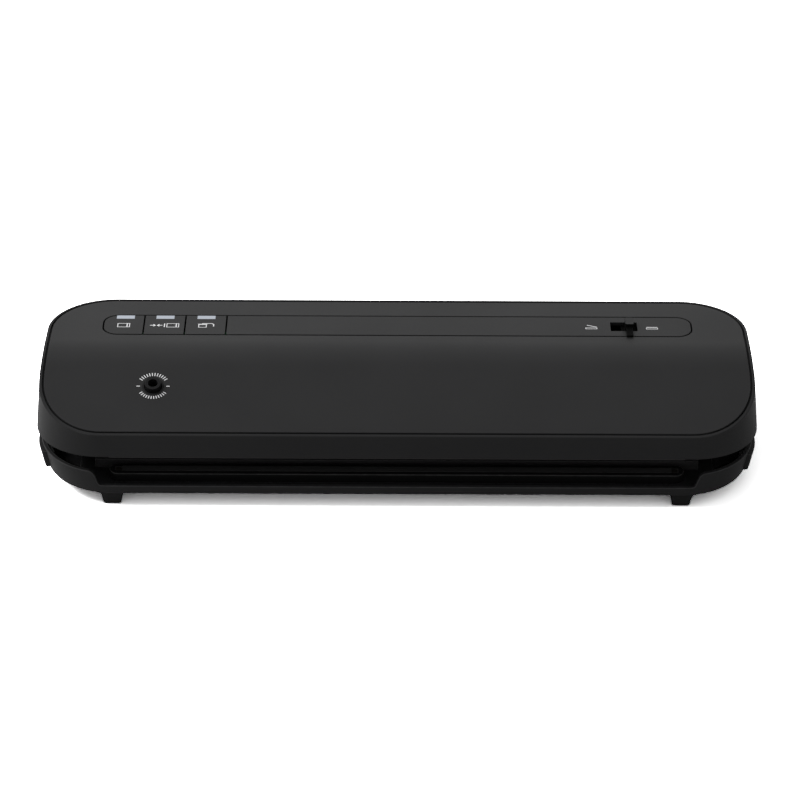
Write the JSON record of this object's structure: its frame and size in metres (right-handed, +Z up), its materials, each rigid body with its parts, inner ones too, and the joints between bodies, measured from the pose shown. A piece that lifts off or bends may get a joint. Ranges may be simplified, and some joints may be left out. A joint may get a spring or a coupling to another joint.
{
  "type": "vacuum sealer",
  "caption": "Worktop vacuum sealer for food bags: long low base with a front bag mouth and seal bar under a hinged lid with push buttons, a slide switch and a hose port.",
  "frame": {"origin": "middle of the footprint at the level of the surface it stands on", "axes": "+X along the machine to the user's right, +Y from the front to the hinge, +Z up"},
  "size_m": [0.411, 0.1244, 0.0665],
  "materials": {
    "lid_plastic": "fine matt charcoal moulding",
    "base_plastic": "fine matt black moulding",
    "strip_plastic": "satin charcoal moulding",
    "button_plastic": "satin charcoal moulding",
    "light_window": "milky light guide",
    "knob_plastic": "satin black moulding",
    "inner_plastic": "matt black moulding",
    "foot_rubber": "matt black rubber",
    "gasket_rubber": "soft black rubber",
    "silicone": "dark silicone",
    "tape": "dark glass cloth tape",
    "steel": "plain steel",
    "nichrome": "resistance ribbon",
    "brass": "plain brass",
    "board": "green circuit board",
    "component_black": "black component body",
    "lamp": "clear lamp",
    "motor_steel": "zinc-coated can",
    "hose_rubber": "translucent silicone hose",
    "coil": "wound coil"
  },
  "bodies": {
    "base": {"base_deck": "inner_plastic", "base_screws": "steel", "base_shell": "base_plastic", "drip_tray": "inner_plastic", "element_clip_left": "brass", "element_clip_right": "brass", "foot_front_left": "foot_rubber", "foot_front_right": "foot_rubber", "foot_rear_left": "foot_rubber", "foot_rear_right": "foot_rubber", "heating_element": "nichrome", "hinge_pin_left": "steel", "hinge_pin_right": "steel", "latch_spring_left": "steel", "latch_spring_right": "steel", "lower_gasket": "gasket_rubber", "seal_bar": "inner_plastic", "sealing_tape": "tape"},
    "release_left": {"latch_slide_left": "inner_plastic", "release_button_left": "base_plastic"},
    "release_right": {"latch_slide_right": "inner_plastic", "release_button_right": "base_plastic"},
    "push_first": {"button_first": "button_plastic", "light_window_first": "light_window"},
    "push_second": {"button_second": "button_plastic", "light_window_second": "light_window"},
    "push_third": {"button_third": "button_plastic", "light_window_third": "light_window"},
    "store_slider": {"slider_knob": "knob_plastic", "slider_link": "inner_plastic"},
    "rotor": {"pump_rotor": "steel"},
    "lid": {"accessory_port": "lid_plastic", "capacitors": "component_black", "control_board": "board", "control_strip": "strip_plastic", "cord_bush": "inner_plastic", "heater_relay": "component_black", "latch_hook_left": "inner_plastic", "latch_hook_right": "inner_plastic", "lid_chassis": "inner_plastic", "lid_frame": "lid_plastic", "lid_screws": "steel", "lid_top_panel": "lid_plastic", "port_hose": "hose_rubber", "power_board": "board", "pressure_sensor": "component_black", "pressure_strip": "silicone", "pump_cradle": "inner_plastic", "pump_diaphragm": "silicone", "pump_head": "inner_plastic", "pump_motor": "motor_steel", "status_lamps": "lamp", "suction_hose": "hose_rubber", "tact_switches": "component_black", "transformer": "component_black", "upper_gasket": "gasket_rubber", "valve_coil": "coil", "vent_valve": "inner_plastic"}
  },
  "joints": [
    {"name": "lid_hinge", "type": "hinge", "parent": "base", "child": "lid", "pos_m": [0, 0.05392, 0.0199], "axis": [-1, 0, 0], "range_deg": [-5, 60], "stiffness_Nm_per_rad": 0.4, "springref_deg": 44.46},
    {"name": "first_button_press", "type": "slide", "parent": "lid", "child": "push_first", "axis": [0, -0.0872, -0.9962], "range_m": [0, 0.0008], "stiffness_N_per_m": 600},
    {"name": "second_button_press", "type": "slide", "parent": "lid", "child": "push_second", "axis": [0, -0.0872, -0.9962], "range_m": [0, 0.0008], "stiffness_N_per_m": 600},
    {"name": "third_button_press", "type": "slide", "parent": "lid", "child": "push_third", "axis": [0, -0.0872, -0.9962], "range_m": [0, 0.0008], "stiffness_N_per_m": 600},
    {"name": "store_slide", "type": "slide", "parent": "lid", "child": "store_slider", "axis": [-1, 0, 0], "range_m": [0, 0.006]},
    {"name": "rotor_spin", "type": "hinge", "parent": "lid", "child": "rotor", "pos_m": [0.0672, 0.00094, 0.04541], "axis": [1, 0, 0], "continuous": true},
    {"name": "left_release_press", "type": "slide", "parent": "base", "child": "release_left", "axis": [1, 0, 0], "range_m": [0, 0.0025], "stiffness_N_per_m": 800},
    {"name": "right_release_press", "type": "slide", "parent": "base", "child": "release_right", "axis": [-1, 0, 0], "range_m": [0, 0.0025], "stiffness_N_per_m": 800}
  ]
}
